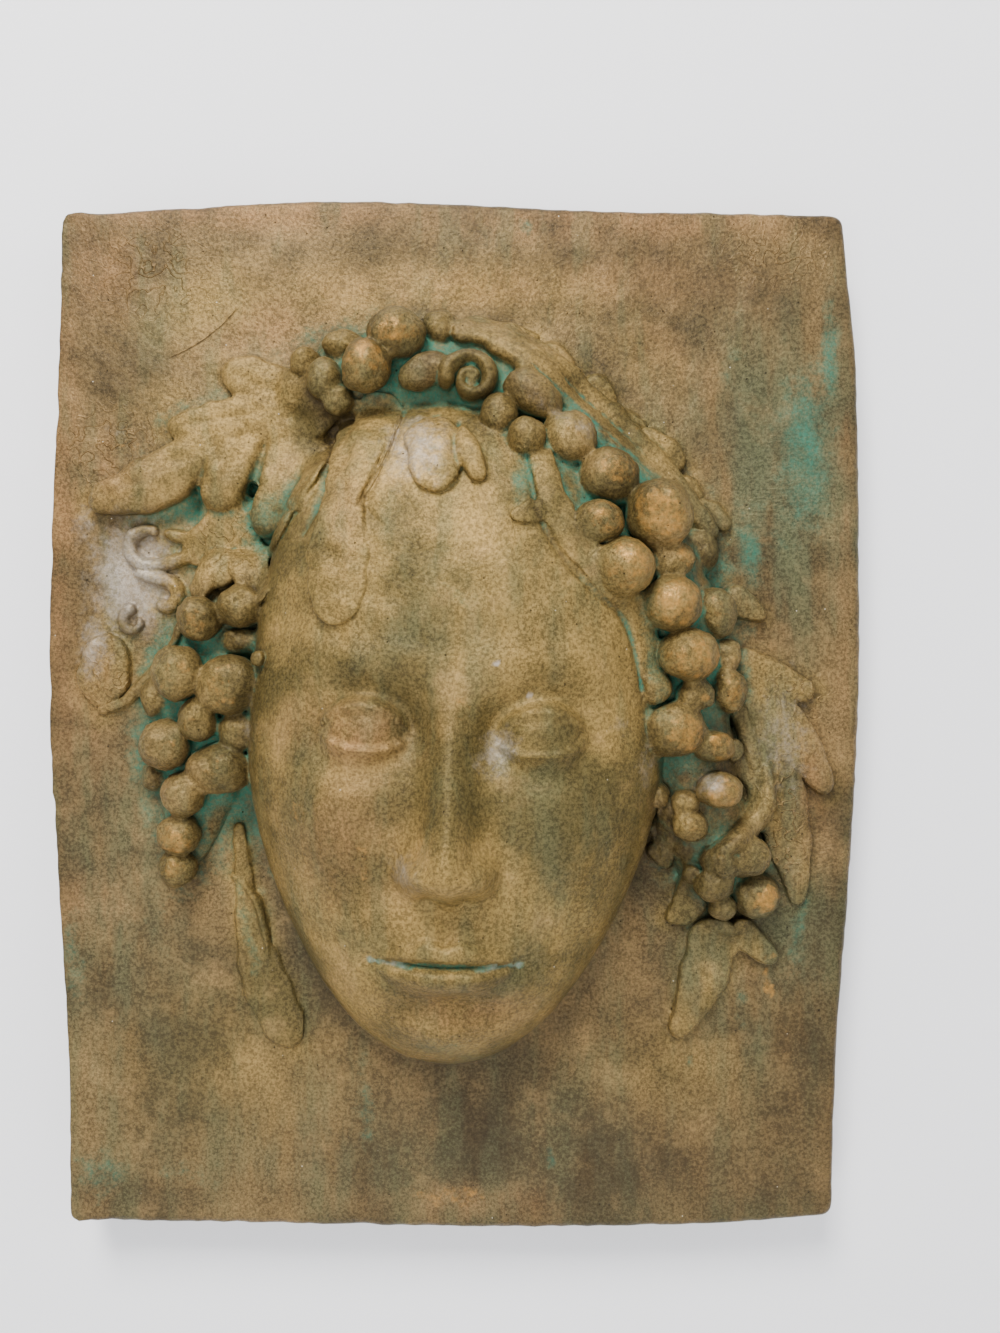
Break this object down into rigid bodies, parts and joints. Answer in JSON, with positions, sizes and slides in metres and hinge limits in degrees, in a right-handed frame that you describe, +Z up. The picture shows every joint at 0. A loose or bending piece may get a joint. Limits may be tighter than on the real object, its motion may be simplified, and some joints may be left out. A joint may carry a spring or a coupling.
{
  "type": "decorative wall plaque",
  "caption": "Moulded clay wall plaque: a calm mask wreathed in vine leaves and grapes, in high relief on an upright slab with bowed edges, to hang flat on a wall.",
  "frame": {"origin": "middle of the flat back of the slab, where the plaque lies against the wall", "axes": "+Z up the slab, +Y out of the back into the wall, +X to the right as seen from the front; the relief faces -Y"},
  "size_m": [0.2598, 0.0727, 0.3296],
  "materials": {
    "patinated_clay": "fired clay with a bronze-like wax and verdigris patina, satin to dull"
  },
  "bodies": {
    "root": {"relief_plaque": "patinated_clay"}
  },
  "joints": []
}
